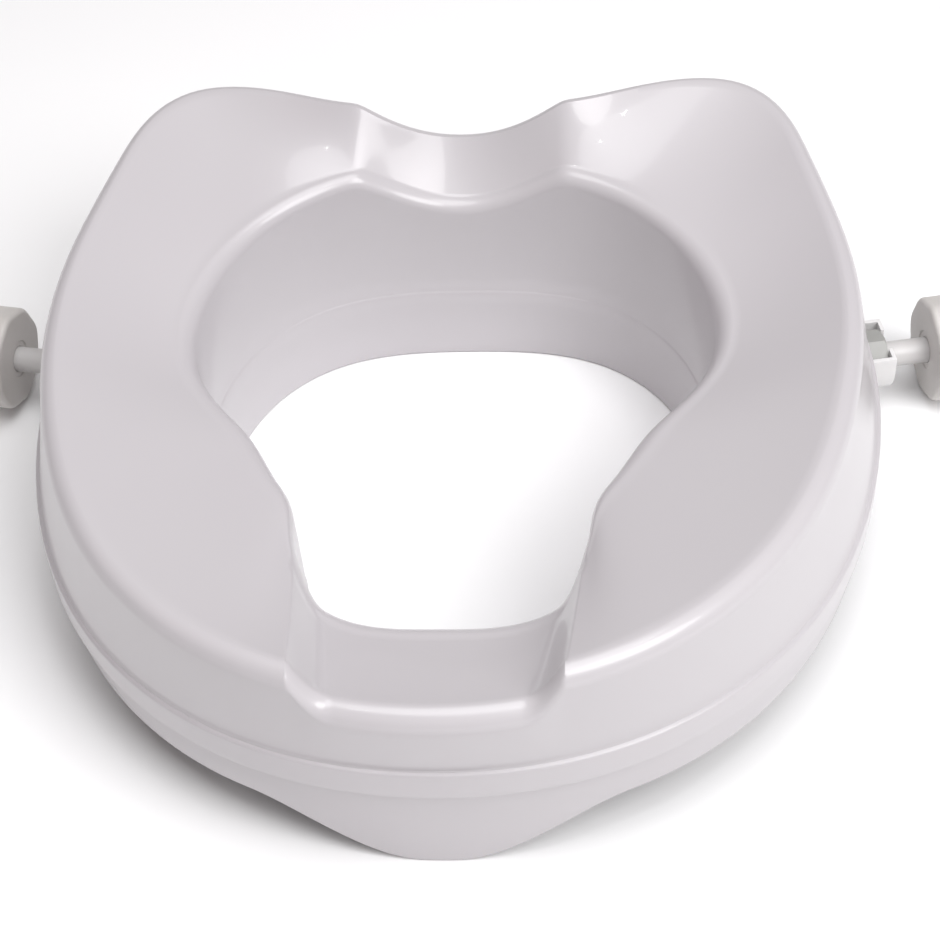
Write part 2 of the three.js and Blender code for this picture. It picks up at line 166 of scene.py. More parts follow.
# Ribs, bosses, pads and fixing screws.
BOSS_RADIUS = 4.6
PILOT_RADIUS = 1.9
RIB_TRIM = 5
GROOVE_OFFSETS = (-8, 0, 8)
GROOVE_RADIUS = 0.8
GROOVE_REACH = 12
GROOVE_DROP = 0.2
LEG_BORE = 6.6
TAB_BORE = 2.1
FIXING_PROFILE = (
    (-2.2, 2.2),
    (-2.0, 2.9),
    (-1.3, 3.4),
    (-0.5, 3.6),
    (0, 3.6),
    (0, 1.6),
    (17, 1.6),
    (18.7, 0.3),
)
CROSS_ARM = (1.7, 0.35)
CROSS_SPAN = (-2.6, -1.1)

# Nut, clamp screw, knob and foot, measured outwards from the middle of the seat.
NUT_TURN = 45
NUT_SPAN = (190.4, 200.9)
NUT_BORE = 5.95
NUT_CHAMFER = 1.1
SHANK_FROM = 201.2
SHANK_TO = 236
THREAD_FROM = 152.6
TIP_FROM = 144.6
TIP_RADIUS = 4
TIP_CHAMFER = 0.6
SHANK_CHAMFER = 0.4
THREAD_DEPTH = 1.1
THREAD_RINGS = 190
THREAD_LAND = 0.25
THREAD_FLANK = 0.6
THREAD_FADE = 1.5
KNOB_SPAN = (222, 242)
KNOB_BORE = 6.5
KNOB_BORE_TO = 236.4
KNOB_ROUNDS = (2.6, 4)
KNOB_CAP = ((-1.0, 3), (-0.9, 10), (-0.35, 14.5), (0, 16.5))
KNOB_RECESS = (9.4, 8.9, 0.5)
LOBE_FROM = 17
LOBE_RAMP = 4
FOOT_PROFILE = (
    (138.8, 12),
    (144.2, 12),
    (144.2, 7.5),
    (152.3, 7.5),
    (152.3, 4.12),
    (144.3, 4.12),
)
FOOT_FACE_PROFILE = (
    (138.5, 11.4),
    (135.5, 11.4),
    (135.5, 8.6),
    (136.1, 8.2),
    (136.1, 5),
    (135.5, 4.6),
)

# Camera in metres and radians, and the studio light as (name, place, size, watts, colour).
CAMERA_PLACE = (0.0619, -0.6332, 0.6747)
CAMERA_YAW = -0.088
CAMERA_PITCH = -0.787
CAMERA_ROLL = -0.069
CAMERA_LENS = 75.93
LAMPS = ((0.3, -0.5), (-0.5, -0.6), (0.9, -0.2))
LAMP_Z = 2.1
LAMP_SIZE = 0.05
LAMP_WATTS = 0.7
FLOOR_SIZE = 14
FLOOR_DROP = 0.0003
WORLD_COLOUR = (1, 0.96, 0.965, 1)
WORLD_STRENGTH = 0.32
LIGHT_AIM = (0, 0, 0.08)
LIGHTS = (
    ("window", (1.1, -1.0, 1.6), 1.3, 30.0, (1, 0.995, 1)),
    ("ceiling", (0.15, -0.25, 2.1), 1.6, 24.0, (0.98, 0.99, 1)),
    ("room", (-1.5, -0.2, 1.5), 1.6, 1.5, (1, 0.75, 0.72)),
)


def mm(length):
    return length / MM


def smoothstep(t):
    s = min(max(t, 0), 1)
    return s * s * (3 - 2 * s)


def lerp(a, b, t):
    return a + (b - a) * t


def smooth_through(stations):
    """A cubic curve with steady curvature through (angle, value) stations, level at both ends."""
    last = len(stations) - 1
    step = [stations[i + 1][0] - stations[i][0] for i in range(last)]
    rise = [(stations[i + 1][1] - stations[i][1]) / step[i] for i in range(last)]
    slope = [0.0] * (last + 1)
    for _ in range(60):
        for i in range(1, last):
            before = (3 * rise[i - 1] - slope[i - 1]) / step[i - 1]
            after = (3 * rise[i] - slope[i + 1]) / step[i]
            slope[i] = (before + after) / (2 / step[i - 1] + 2 / step[i])

    def value(angle):
        i = 0
        while i < last - 1 and angle > stations[i + 1][0]:
            i += 1
        t = (angle - stations[i][0]) / step[i]
        h = 3 * t * t - 2 * t * t * t
        start = t * (1 - t) * (1 - t) * slope[i] * step[i]
        end = t * t * (t - 1) * slope[i + 1] * step[i]
        return stations[i][1] * (1 - h) + stations[i + 1][1] * h + start + end

    return value


outer_radius = smooth_through(OUTER_OUTLINE)
inner_radius = smooth_through(INNER_OUTLINE)


def around(values, angle):
    """A value that changes from front to side to back with the squared cosine of the angle."""
    front, side, back = values
    c = math.cos(math.radians(angle))
    return side + ((front if c > 0 else back) - side) * c * c


def lead(angle, share_from_to):
    """The angle, moved ahead by a share that fades out."""
    share, full_to, end = share_from_to
    return angle * (1 + share * (1 - smoothstep((angle - full_to) / (end - full_to))))


def front_dip(point, half_width):
    """Share of the front dip's depth: a short ridge, then a cove down to the flat floor."""
    ahead = -point.y - FRONT_DIP_FROM
    edge = half_width - FRONT_DIP_DRAW_IN * ahead
    ramp = FRONT_DIP_RAMP + FRONT_DIP_SPREAD * max(ahead, 0)
    t = min(max((edge - abs(point.x)) / ramp, 0), 1)
    return (1 - math.cos(math.pi * t**FRONT_DIP_POWER)) / 2


def back_dip(point, half_width, depth):
    """Depth of the back dip: a bowl that ends at a soft ridge on each side."""

    def bowl(share):
        level = depth * math.cos(share * math.pi / 2)
        return (level + math.hypot(level, BACK_DIP_RIDGE)) / 2

    return bowl(min(abs(point.x) / half_width, BACK_DIP_REACH)) - bowl(BACK_DIP_REACH)


def polar(angle, radius):
    a = math.radians(angle)
    return Vector((radius * math.sin(a), -radius * math.cos(a)))


class Station:
    """A cross-section of the seat between its two outlines, at an angle from the front."""

    def __init__(self, angle, sizes):
        inner_angle = lead(angle, FRONT_LEAD) if angle < 90 else 180 - lead(180 - angle, BACK_LEAD)
        self.angle = angle
        self.sizes = sizes
        self.outer = polar(angle, outer_radius(angle))
        self.inner = polar(inner_angle, inner_radius(inner_angle))
        self.inward = (self.inner - self.outer).normalized()
        self.outer_z = around(OUTER_EDGE_Z, angle)
        self.inner_z = around(OUTER_EDGE_Z, inner_angle) - mm(sizes.dish_depth)
        self.inset = around(TOP_INSET, angle)
        self.inner_round = mm(sizes.inner_round) * around(INNER_ROUND_SHARE, inner_angle)

    def from_outer(self, inset):
        return self.outer + self.inward * inset

    def from_inner(self, outset):
        return self.inner - self.inward * outset

    def dip_at(self, point, depth):
        s = self.sizes
        if point.y < 0:
            return mm(s.front_dip_depth) * front_dip(point, mm(s.front_dip_half_width) + depth)
        return back_dip(point, mm(s.back_dip_half_width) + depth, mm(s.back_dip_depth))

    def wall_top(self, depth):
        return self.inner_z - self.dip_at(self.inner, depth) - self.inner_round

    def skin(self, depth, corner, top_count):
        """Points over the top, from the outer wall to the inner one, at a depth below the surface."""
        points = []
        outer_round = mm(self.sizes.outer_round)
        inner_round = self.inner_round
        rim_z = self.outer_z - self.dip_at(self.from_outer(self.inset), depth)
        hole_z = self.inner_z - self.dip_at(self.inner, depth)
        for i in range(corner + 1):
            a = i / corner * math.pi / 2
            inset = self.inset + outer_round - (outer_round - depth) * math.cos(a)
            z = rim_z - outer_round + (outer_round - depth) * math.sin(a)
            points.append((self.from_outer(inset), z))
        start = self.from_outer(self.inset + outer_round)
        finish = self.from_inner(inner_round)
        for i in range(1, top_count + 1):
            t = i / (top_count + 1)
            p = start.lerp(finish, t)
            base = lerp(self.outer_z, self.inner_z, t) - 4 * DISH_SAG * t * (1 - t)
            points.append((p, base - self.dip_at(p, depth) - depth))
        for i in range(corner, -1, -1):
            a = i / corner * math.pi / 2
            outset = inner_round - (inner_round - depth) * math.cos(a)
            z = hole_z - inner_round + (inner_round - depth) * math.sin(a)
            points.append((self.from_inner(outset), z))
        return points

    def skirt_foot_z(self):
        """Height of the outer skirt's lower edge: plain sides, tongue in front, raised back, slots."""
        share = (self.angle - BACK_SKIRT_FROM) / (BACK_SKIRT_TO - BACK_SKIRT_FROM)
        plain = lerp(SIDE_SKIRT_DROP, BACK_SKIRT_DROP, smoothstep(share))
        reach = (abs(self.outer.x) - TONGUE_HALF_WIDTH) / (2 * TONGUE_HALF_RAMP) + 0.5
        front = 1 - smoothstep(reach) if self.outer.y < 0 else 0
        foot = BAND_BASE_Z - lerp(plain, BAND_BASE_Z, front)
        x, y = self.outer.x - CLAMP_FOOT[0], self.outer.y + PLAN_SHIFT_Y - CLAMP_FOOT[1]
        across = -x * math.sin(CLAMP_TILT) + y * math.cos(CLAMP_TILT)
        if abs(across) < SLOT_RADIUS and x > 0:
            foot = max(foot, CLAMP_Z + math.sqrt(SLOT_RADIUS**2 - across**2))
        return foot


def arc(centre, radius, start, end, count):
    """(inset, z) points on a round, from one angle to another in degrees."""
    points = []
    for i in range(count + 1):
        a = math.radians(lerp(start, end, i / count))
        points.append((centre[0] - radius * math.cos(a), centre[1] + radius * math.sin(a)))
    return points


def between(a, b, count):
    return [(lerp(a[0], b[0], i / count), lerp(a[1], b[1], i / count)) for i in range(1, count)]


def moulding_section(s):
    """Closed section: skirt, flange band, wall, dished top, inner skirt, and back on the hollow side."""
    wall = mm(s.sizes.wall)
    foot = s.skirt_foot_z()
    band_top = BAND_BASE_Z + mm(s.sizes.band_height)
    r, e = BAND_ROUND, EDGE_ROUND
    lower = arc((SKIRT_INSET + e, foot + e), e, -90, 0, 3)
    lower += [(SKIRT_INSET, lerp(foot + e, BAND_BASE_Z - r, 0.5))]
    lower += arc((SKIRT_INSET - r, BAND_BASE_Z - r), -r, 0, -90, 3)
    lower += arc((r, BAND_BASE_Z + r), r, -90, 0, 4)
    lower += between((0, BAND_BASE_Z + r), (0, band_top - r), 4)
    lower += arc((r, band_top - r), r, 0, 78, 5)
    skin = s.skin(0, *SKIN_STEPS)
    wall_foot_z = band_top + WALL_FOOT_RISE
    top = (s.inset, skin[0][1])
    wall_share = (wall_foot_z - band_top) / (top[1] - band_top)
    wall_foot = (lerp(BAND_STEP, top[0], wall_share), wall_foot_z)
    lower += [(BAND_STEP - back, band_top + rise) for back, rise in BAND_CREASE]
    lower += [wall_foot]
    lower += between(wall_foot, top, 8)
    section = [(s.from_outer(inset), z) for inset, z in lower]
    section += skin
    wall_top = s.wall_top(0)
    taper = INNER_TAPER / wall_top
    step_inset = taper * (wall_top - INNER_STEP_Z)
    inner = between((0, wall_top), (step_inset, INNER_STEP_Z), 6)
    lip_in, lip_down = INNER_STEP_LIP
    inner += [(step_inset, INNER_STEP_Z), (step_inset + lip_in, INNER_STEP_Z - lip_down)]
    low = (step_inset + INNER_STEP, INNER_STEP_Z - INNER_STEP_FALL)
    foot_inset = INNER_TAPER + INNER_STEP
    inner += [low] + between(low, (foot_inset, e), 5)
    section += [(s.from_inner(-inset), z) for inset, z in inner]
    section += [(s.from_inner(-(foot_inset - e + p)), z) for p, z in inner_edge(e)]
    section += [(s.from_inner(wall - foot_inset - e + p), z) for p, z in outer_edge(e)]
    section += s.skin(wall, *HOLLOW_SKIN_STEPS)[::-1]
    hollow = [(SKIRT_INSET + wall, band_top), (SKIRT_INSET + wall, BAND_BASE_Z)]
    section += [(s.from_outer(inset), z) for inset, z in hollow]
    section += [(s.from_outer(SKIRT_INSET + wall), foot + e)]
    section += [(s.from_outer(SKIRT_INSET + wall - e * 0.3), foot + e * 0.3)]
    return section


def inner_edge(e):
    return [(e * math.cos(math.radians(a)), e - e * math.sin(math.radians(a))) for a in (0, 30, 60, 90)]


def outer_edge(e):
    return [(e * math.sin(math.radians(a)), e - e * math.cos(math.radians(a))) for a in (0, 45, 90)]


def fill_section(s):
    """Solid section inside the walls, above the ribs' lower edge, that trims ribs and bosses."""
    half = mm(s.sizes.wall) / 2
    wall_top = s.wall_top(half)
    taper = INNER_TAPER * (wall_top - RIB_BASE_Z) / wall_top
    edge = SKIRT_INSET + half
    section = [(s.from_outer(edge), RIB_BASE_Z)]
    section += [(s.from_outer(edge), BAND_BASE_Z + mm(s.sizes.band_height))]
    section += s.skin(half, *FILL_SKIN_STEPS)
    section += [(s.from_inner(half - taper), RIB_BASE_Z)]
    return section


def run_angles(runs):
    """Station angles on one side from (to, count) runs, closer together where detail crosses."""
    angles, start = [0.0], 0.0
    for to, count in runs:
        angles += [start + (to - start) * i / count for i in range(1, count + 1)]
        start = to
    return angles


def deselect():
    if bpy.context.object and bpy.context.object.mode != "OBJECT":
        bpy.ops.object.mode_set(mode="OBJECT")
    bpy.ops.object.select_all(action="DESELECT")


def loft(name, section, runs, sizes):
    """A sheet rolled into a closed ring that takes the given section at every station."""
    half = run_angles(runs)
    rows = [[(p.x, p.y, z) for p, z in section(Station(angle, sizes))] for angle in half]
    rows += [[(-x, y, z) for x, y, z in row] for row in rows[-2:0:-1]]
    stations, sides = len(rows), len(rows[0])
    deselect()
    bpy.ops.mesh.primitive_grid_add(x_subdivisions=stations, y_subdivisions=sides, size=1)
    piece = bpy.context.object
    piece.name = piece.data.name = name
    for vertex in piece.data.vertices:
        row = rows[round((vertex.co.x + 0.5) * stations) % stations]
        x, y, z = row[round((vertex.co.y + 0.5) * sides) % sides]
        vertex.co = Vector((x, y + PLAN_SHIFT_Y, z)) * MM
    piece.data.update()
    bpy.ops.object.mode_set(mode="EDIT")
    bpy.ops.mesh.select_all(action="SELECT")
    bpy.ops.mesh.remove_doubles(threshold=1e-6)
    bpy.ops.mesh.normals_make_consistent(inside=False)
    bpy.ops.object.mode_set(mode="OBJECT")
    return piece


def finish_piece(piece, name, material, smooth=30):
    deselect()
    piece.select_set(True)
    bpy.context.view_layer.objects.active = piece
    piece.name = piece.data.name = name
    bpy.ops.object.shade_smooth_by_angle(angle=math.radians(smooth))
    piece.data.materials.clear()
    piece.data.materials.append(material)


def settle(piece, matrix=None):
    """Puts the piece's place into its mesh, so that its object sits at the origin."""
    deselect()
    piece.select_set(True)
    bpy.context.view_layer.objects.active = piece
    if matrix is not None:
        piece.matrix_world = matrix @ piece.matrix_world
    bpy.ops.object.transform_apply(location=True, rotation=True, scale=True)


def clamp_matrix(side):
    """From a clamp's own axes (X outwards, Y across, Z up) to the frame."""
    sign = -1 if side == "left" else 1
    outward = Vector((sign * math.cos(CLAMP_TILT), math.sin(CLAMP_TILT), 0))
    up = Vector((0, 0, 1))
    place = Matrix((outward, up.cross(outward), up)).transposed().to_4x4()
    place.translation = Vector((sign * CLAMP_FOOT[0], CLAMP_FOOT[1], CLAMP_Z)) * MM
    return place


def spindle_matrix(side):
    """The same for a piece turned about +Z, which then points outwards."""
    return clamp_matrix(side) @ Matrix.Rotation(math.pi / 2, 4, "Y")


def turned(name, profile, sides=64):
    """A piece turned about +Z from (along, radius) steps, closed by a flat at each end."""
    deselect()
    (start, first), (second, second_radius) = profile[:2]
    bpy.ops.mesh.primitive_cylinder_add(
        vertices=sides,
        radius=first * MM,
        depth=abs(second - start) * MM,
        location=(0, 0, (start + second) / 2 * MM),
    )
    piece = bpy.context.object
    piece.name = name
    bpy.ops.object.transform_apply(location=True, rotation=True, scale=True)
    bpy.ops.object.mode_set(mode="EDIT")
    bpy.ops.mesh.select_mode(type="FACE")
    bpy.ops.mesh.select_all(action="DESELECT")
    mesh = bmesh.from_edit_mesh(piece.data)
    caps = [f for f in mesh.faces if len(f.verts) == sides]
    pick = min if second < start else max
    pick(caps, key=lambda f: f.calc_center_median().z).select_set(True)
    bmesh.update_edit_mesh(piece.data)
    k = second_radius / first
    bpy.ops.transform.resize(value=(k, k, 1), center_override=(0, 0, second * MM))
    for (z0, r0), (z1, r1) in zip(profile[1:], profile[2:]):
        shift = {"value": (0, 0, (z1 - z0) * MM), "orient_type": "GLOBAL"}
        bpy.ops.mesh.extrude_region_move(TRANSFORM_OT_translate=shift)
        if r1 != r0:
            k = r1 / r0
            bpy.ops.transform.resize(value=(k, k, 1), center_override=(0, 0, z1 * MM))
    bpy.ops.mesh.select_all(action="SELECT")
    bpy.ops.mesh.normals_make_consistent(inside=False)
    bpy.ops.object.mode_set(mode="OBJECT")
    return piece


def block(low, high):
    """Box between two corners in millimetres."""
    deselect()
    centre = [(a + b) / 2 * MM for a, b in zip(low, high)]
    size = [(b - a) * MM for a, b in zip(low, high)]
    bpy.ops.mesh.primitive_cube_add(size=1, location=centre, scale=size)
    piece = bpy.context.object
    bpy.ops.object.transform_apply(location=True, rotation=True, scale=True)
    return piece


def rod(radius, low, high, centre=(0, 0), axis="Z", sides=48):
    """Round rod between two heights along Z or X; centre is its place across that axis."""
    deselect()
    middle = (low + high) / 2
    place = {"Z": (*centre, middle), "X": (middle, *centre)}[axis]
    bpy.ops.mesh.primitive_cylinder_add(
        vertices=sides,
        radius=radius * MM,
        depth=(high - low) * MM,
        location=[c * MM for c in place],
        rotation=(0, math.pi / 2 if axis == "X" else 0, 0),
    )
    piece = bpy.context.object
    bpy.ops.object.transform_apply(location=True, rotation=True, scale=True)
    return piece


def channel(radius, low, high, top):
    """Bar along X with a half-round underside and straight sides up to top."""
    piece = rod(radius, low, high, axis="X", sides=64)
    corner = 0.25
    for vertex in piece.data.vertices:
        y, z = vertex.co.y, vertex.co.z
        if z < 1e-7:
            continue
        from_middle = 1 - math.atan2(z, abs(y)) / (math.pi / 2)
        side = math.copysign(radius * MM, y)
        if from_middle <= corner + 1e-6:
            vertex.co.y = side * from_middle / corner
            vertex.co.z = top * MM
        else:
            vertex.co.y = side
            vertex.co.z = top * MM * (1 - from_middle) / (1 - corner)
    return piece


def combine(piece, others, operation):
    """Joins, cuts or trims the piece with each of the others, which are used up."""
    for other in others:
        deselect()
        piece.select_set(True)
        bpy.context.view_layer.objects.active = piece
        tool = piece.modifiers.new("combine", "BOOLEAN")
        tool.operation = operation
        tool.solver = "EXACT"
        tool.object = other
        bpy.ops.object.modifier_apply(modifier=tool.name)
        bpy.data.objects.remove(other, do_unlink=True)
    return piece


def soften(piece, width, segments=3, angle=35):
    """Rounds the piece's sharp edges."""
    deselect()
    piece.select_set(True)
    bpy.context.view_layer.objects.active = piece
    bevel = piece.modifiers.new("soften", "BEVEL")
    bevel.width = width * MM
    bevel.segments = segments
    bevel.limit_method = "ANGLE"
    bevel.angle_limit = math.radians(angle)
    bevel.harden_normals = False
    bpy.ops.object.modifier_apply(modifier=bevel.name)
    return piece


def radial_matrix(angle):
    """From a place in front of the seat's middle to the same place at an angle round it."""
    shift = Matrix.Translation((0, PLAN_SHIFT_Y * MM, 0))
    return shift @ Matrix.Rotation(math.radians(angle), 4, "Z")


def pad_block(size, base, angle):
    width, length, height = size
    radius = PADDED_RIBS[abs(angle)][1]
    piece = block(
        (-width / 2, -radius - length / 2, base), (width / 2, -radius + length / 2, base + height)
    )
    settle(piece, radial_matrix(angle))
    return piece


def bracket_solid():
    over = CRADLE_OUTER + GAP
    body = channel(CRADLE_OUTER, CRADLE_FROM, CRADLE_END, CRADLE_TOP)
    under = rod(CRADLE_OUTER, LEG[0] + GAP, CRADLE_FROM + 1, axis="X", sides=64)
    trim = block((LEG[0], -over, -over), (CRADLE_FROM + 2, over, TROUGH_TOP))
    combine(under, [trim], "INTERSECT")
    leg = channel(CRADLE_OUTER, LEG[0], LEG[1], TAB_TOP)
    tab = block((TAB_FROM, -CRADLE_OUTER, TAB_BASE), (LEG[0] + 1, CRADLE_OUTER, TAB_TOP))
    combine(body, [under, leg, tab], "UNION")
    tools = [
        channel(CRADLE_INNER, LEG[1], STOP_PLATE[0], over),
        channel(CRADLE_INNER, STOP_PLATE[1], CRADLE_END - END_PLATE, over),
        channel(SLOT_RADIUS, STOP_PLATE[0] - GAP, CRADLE_END + GAP, over),
        block(
            (STOP_PLATE[0] - GAP, -CRADLE_INNER + 0.01, STOP_PLATE_TOP),
            (STOP_PLATE[1] + GAP, CRADLE_INNER - 0.01, over),
        ),
        rod(LEG_BORE, LEG[0] - GAP, LEG[1] + GAP, axis="X"),
    ]
    for hand in (-1, 1):
        spot = (FIXING_ALONG, hand * FIXING_ACROSS)
        tools.append(rod(TAB_BORE, TAB_BASE - GAP, TAB_TOP + GAP, spot, sides=24))
    combine(body, tools, "DIFFERENCE")
    return soften(body, 0.35, 3, 40)


def fixing_screw(hand):
    head = TAB_BASE - GAP
    profile = [(head + along, radius) for along, radius in FIXING_PROFILE]
    screw = turned("fixing_screw", profile, 32)
    arms = []
    for turn in (0, math.pi / 2):
        length, width = CROSS_ARM
        low, high = CROSS_SPAN
        arm = block((-length, -width, head + low), (length, width, head + high))
        settle(arm, Matrix.Rotation(turn + math.pi / 4, 4, "Z"))
        arms.append(arm)
    combine(screw, arms, "DIFFERENCE")
    settle(screw, Matrix.Translation((FIXING_ALONG * MM, hand * FIXING_ACROSS * MM, 0)))
    return screw


def nut_solid(corner, turn):
    low, high = NUT_SPAN
    nut = rod(corner, low, high, axis="X", sides=6)
    settle(nut, Matrix.Rotation(math.radians(turn), 4, "X"))
    edge = corner - NUT_CHAMFER
    profile = ((low, edge), (low + NUT_CHAMFER, corner), (high - NUT_CHAMFER, corner), (high, edge))
    cone = turned("nut_cone", profile)
    settle(cone, Matrix.Rotation(math.pi / 2, 4, "Y"))
    combine(nut, [cone], "INTERSECT")
    combine(nut, [rod(NUT_BORE, low - GAP, high + GAP, axis="X")], "DIFFERENCE")
    return soften(nut, 0.3, 2, 50)


def clamp_screw(sizes):
    """Tip, thread cut as a helix, and smooth shank, in one skin of rings along +Z."""
    shank, thread = mm(sizes.shank_radius), mm(sizes.thread_radius)
    pitch = mm(sizes.thread_pitch)
    rings = [(TIP_FROM, TIP_RADIUS - TIP_CHAMFER), (TIP_FROM + TIP_CHAMFER, TIP_RADIUS)]
    rings += [(THREAD_FROM, TIP_RADIUS)]
    for i in range(THREAD_RINGS + 1):
        rings.append((lerp(THREAD_FROM + 0.1, SHANK_FROM - 0.1, i / THREAD_RINGS), None))
    rings += [(SHANK_FROM, shank - SHANK_CHAMFER), (SHANK_FROM + SHANK_CHAMFER, shank)]
    rings += [(SHANK_TO, shank)]
    sides = 48
    deselect()
    bpy.ops.mesh.primitive_cylinder_add(vertices=sides, radius=shank * MM, depth=MM)
    piece = bpy.context.object
    bpy.ops.object.mode_set(mode="EDIT")
    mesh = bmesh.from_edit_mesh(piece.data)
    bpy.ops.mesh.select_mode(type="FACE")
    bpy.ops.mesh.select_all(action="DESELECT")
    top = max(mesh.faces, key=lambda f: f.calc_center_median().z)
    top.select_set(True)
    bmesh.update_edit_mesh(piece.data)
    for _ in range(len(rings) - 2):
        shift = {"value": (0, 0, MM), "orient_type": "GLOBAL"}
        bpy.ops.mesh.extrude_region_move(TRANSFORM_OT_translate=shift)
    bpy.ops.object.mode_set(mode="OBJECT")
    lowest = min(v.co.z for v in piece.data.vertices)
    for vertex in piece.data.vertices:
        along, radius = rings[round((vertex.co.z - lowest) / MM)]
        around_axis = math.atan2(vertex.co.y, vertex.co.x)
        if radius is None:
            radius = thread - thread_cut(along, around_axis, pitch)
        vertex.co = Vector((radius * math.cos(around_axis), radius * math.sin(around_axis), along)) * MM
    piece.data.update()
    return piece


def thread_cut(along, turn, pitch):
    """Depth of a right-hand thread's groove; the groove fades out towards both ends."""
    phase = (along / pitch - turn / (2 * math.pi)) % 1.0
    groove = smoothstep((abs(phase - 0.5) * 2 - THREAD_LAND) / THREAD_FLANK)
    run_in = smoothstep((along - THREAD_FROM) / THREAD_FADE)
    run_out = smoothstep((SHANK_FROM - along) / THREAD_FADE)
    return THREAD_DEPTH * groove * (run_in * run_out)


def knob_solid(sizes):
    """Thick round knob with shallow lobes, a dished cap and a blind bore."""
    radius = mm(sizes.knob_radius)
    low, high = KNOB_SPAN
    inner, outer = KNOB_ROUNDS
    profile = [(high + along, cap_radius) for along, cap_radius in KNOB_CAP]
    profile.append((high, radius - outer))
    for a in (15, 30, 45, 60, 75, 90):
        c, s = math.cos(math.radians(a)), math.sin(math.radians(a))
        profile.append((high - outer + outer * c, radius - outer + outer * s))
    profile.append(((low + high) / 2, radius + 0.01))
    for a in (0, 18, 36, 54, 72, 90):
        c, s = math.cos(math.radians(a)), math.sin(math.radians(a))
        profile.append((low + inner - inner * s, radius - inner + inner * c))
    mouth, floor, depth = KNOB_RECESS
    profile += [(low, mouth), (low + depth, floor), (low + depth, KNOB_BORE), (KNOB_BORE_TO, KNOB_BORE)]
    knob = turned("knob", profile, 128)
    for vertex in knob.data.vertices:
        x, y = vertex.co.x, vertex.co.y
        share = smoothstep((math.hypot(x, y) / MM - LOBE_FROM) / LOBE_RAMP)
        wave = math.cos(sizes.knob_lobes * math.atan2(y, x))
        swell = 1 + sizes.lobe_height / sizes.knob_radius * wave * share
        vertex.co.x, vertex.co.y = x * swell, y * swell
    return knob


def camera_matrix():
    cy, sy = math.cos(CAMERA_YAW), math.sin(CAMERA_YAW)
    cp, sp = math.cos(CAMERA_PITCH), math.sin(CAMERA_PITCH)
    forward = Vector((sy * cp, cy * cp, sp))
    level = Vector((cy, -sy, 0))
    upright = level.cross(forward)
    right = math.cos(CAMERA_ROLL) * level + math.sin(CAMERA_ROLL) * upright
    up = -math.sin(CAMERA_ROLL) * level + math.cos(CAMERA_ROLL) * upright
    matrix = Matrix((right, up, -forward)).transposed().to_4x4()
    matrix.translation = CAMERA_PLACE
    return matrix


def area_light(name, place, size, watts, colour):
    light = bpy.data.objects.new(name, bpy.data.lights.new(name, "AREA"))
    bpy.context.scene.collection.objects.link(light)
    light.data.shape = "DISK"
    light.data.size = size
    light.data.energy = watts
    light.data.color = colour
    light.location = place
    aim = Vector(LIGHT_AIM) - light.location
    light.rotation_euler = aim.to_track_quat("-Z", "Y").to_euler()


class Value:
    """A shader socket that can be used in plain arithmetic."""

    def __init__(self, graph, socket):
        self.graph = graph
        self.socket = socket

    def _math(self, operation, a, b):
        node = self.graph.node("ShaderNodeMath", {"operation": operation}, {0: a, 1: b})
        return Value(self.graph, node.outputs[0])

    def __add__(self, other):
        return self._math("ADD", self, other)

    def __radd__(self, other):
        return self._math("ADD", other, self)

    def __sub__(self, other):
        return self._math("SUBTRACT", self, other)

    def __mul__(self, other):
        return self._math("MULTIPLY", self, other)


class Graph:
    """A material with a Principled shader and one way of adding nodes to it."""

    def __init__(self, name):
        self.material = bpy.data.materials.new(name)
        self.material.use_nodes = True
        self.tree = self.material.node_tree
        self.shader = self.tree.nodes["Principled BSDF"]
        self.place = self.node("ShaderNodeTexCoord").outputs["Object"]

    def node(self, kind, settings=None, inputs=None):
        node = self.tree.nodes.new(kind)
        for key, value in (settings or {}).items():
            setattr(node, key, value)
        for key, value in (inputs or {}).items():
            self.feed(node.inputs[key], value)
        return node

    def feed(self, socket, value):
        if isinstance(value, Value):
            value = value.socket
        if isinstance(value, bpy.types.NodeSocket):
            self.tree.links.new(value, socket)
        else:
            socket.default_value = value

    def noise(self, scale, detail=2.0, roughness=0.5, place=None):
        inputs = {"Vector": place or self.place, "Scale": scale, "Detail": detail}
        inputs["Roughness"] = roughness
        node = self.node("ShaderNodeTexNoise", {}, inputs)
        return Value(self, node.outputs["Fac"])

    def band(self, value, low, high):
        """0 below low, 1 above high, smooth between."""
        settings = {"interpolation_type": "SMOOTHSTEP"}
        inputs = {"Value": value, "From Min": low, "From Max": high}
        node = self.node("ShaderNodeMapRange", settings, inputs)
        return Value(self, node.outputs["Result"])

    def blend(self, factor, first, second):
        """Colour between two colours."""
        node = self.node("ShaderNodeMix", {"data_type": "RGBA"})
        self.feed(node.inputs[0], factor)
        self.feed(node.inputs[6], first)
        self.feed(node.inputs[7], second)
        return node.outputs[2]

    def stretched(self, scale):
        """Object coordinates scaled by axis, for a pattern that runs one way."""
        return self.node("ShaderNodeMapping", {}, {"Vector": self.place, "Scale": scale}).outputs[0]

    def bump(self, height, depth, strength=1.0):
        node = self.node(
            "ShaderNodeBump", {}, {"Height": height, "Distance": depth, "Strength": strength}
        )
        self.feed(self.shader.inputs["Normal"], node.outputs["Normal"])

    def set(self, **values):
        for key, value in values.items():
            name = "IOR" if key == "ior" else key.replace("_", " ").title()
            self.feed(self.shader.inputs[name], value)


def tinted(colour, factor):
    return [c * f for c, f in zip(colour[:3], factor)] + [1.0]


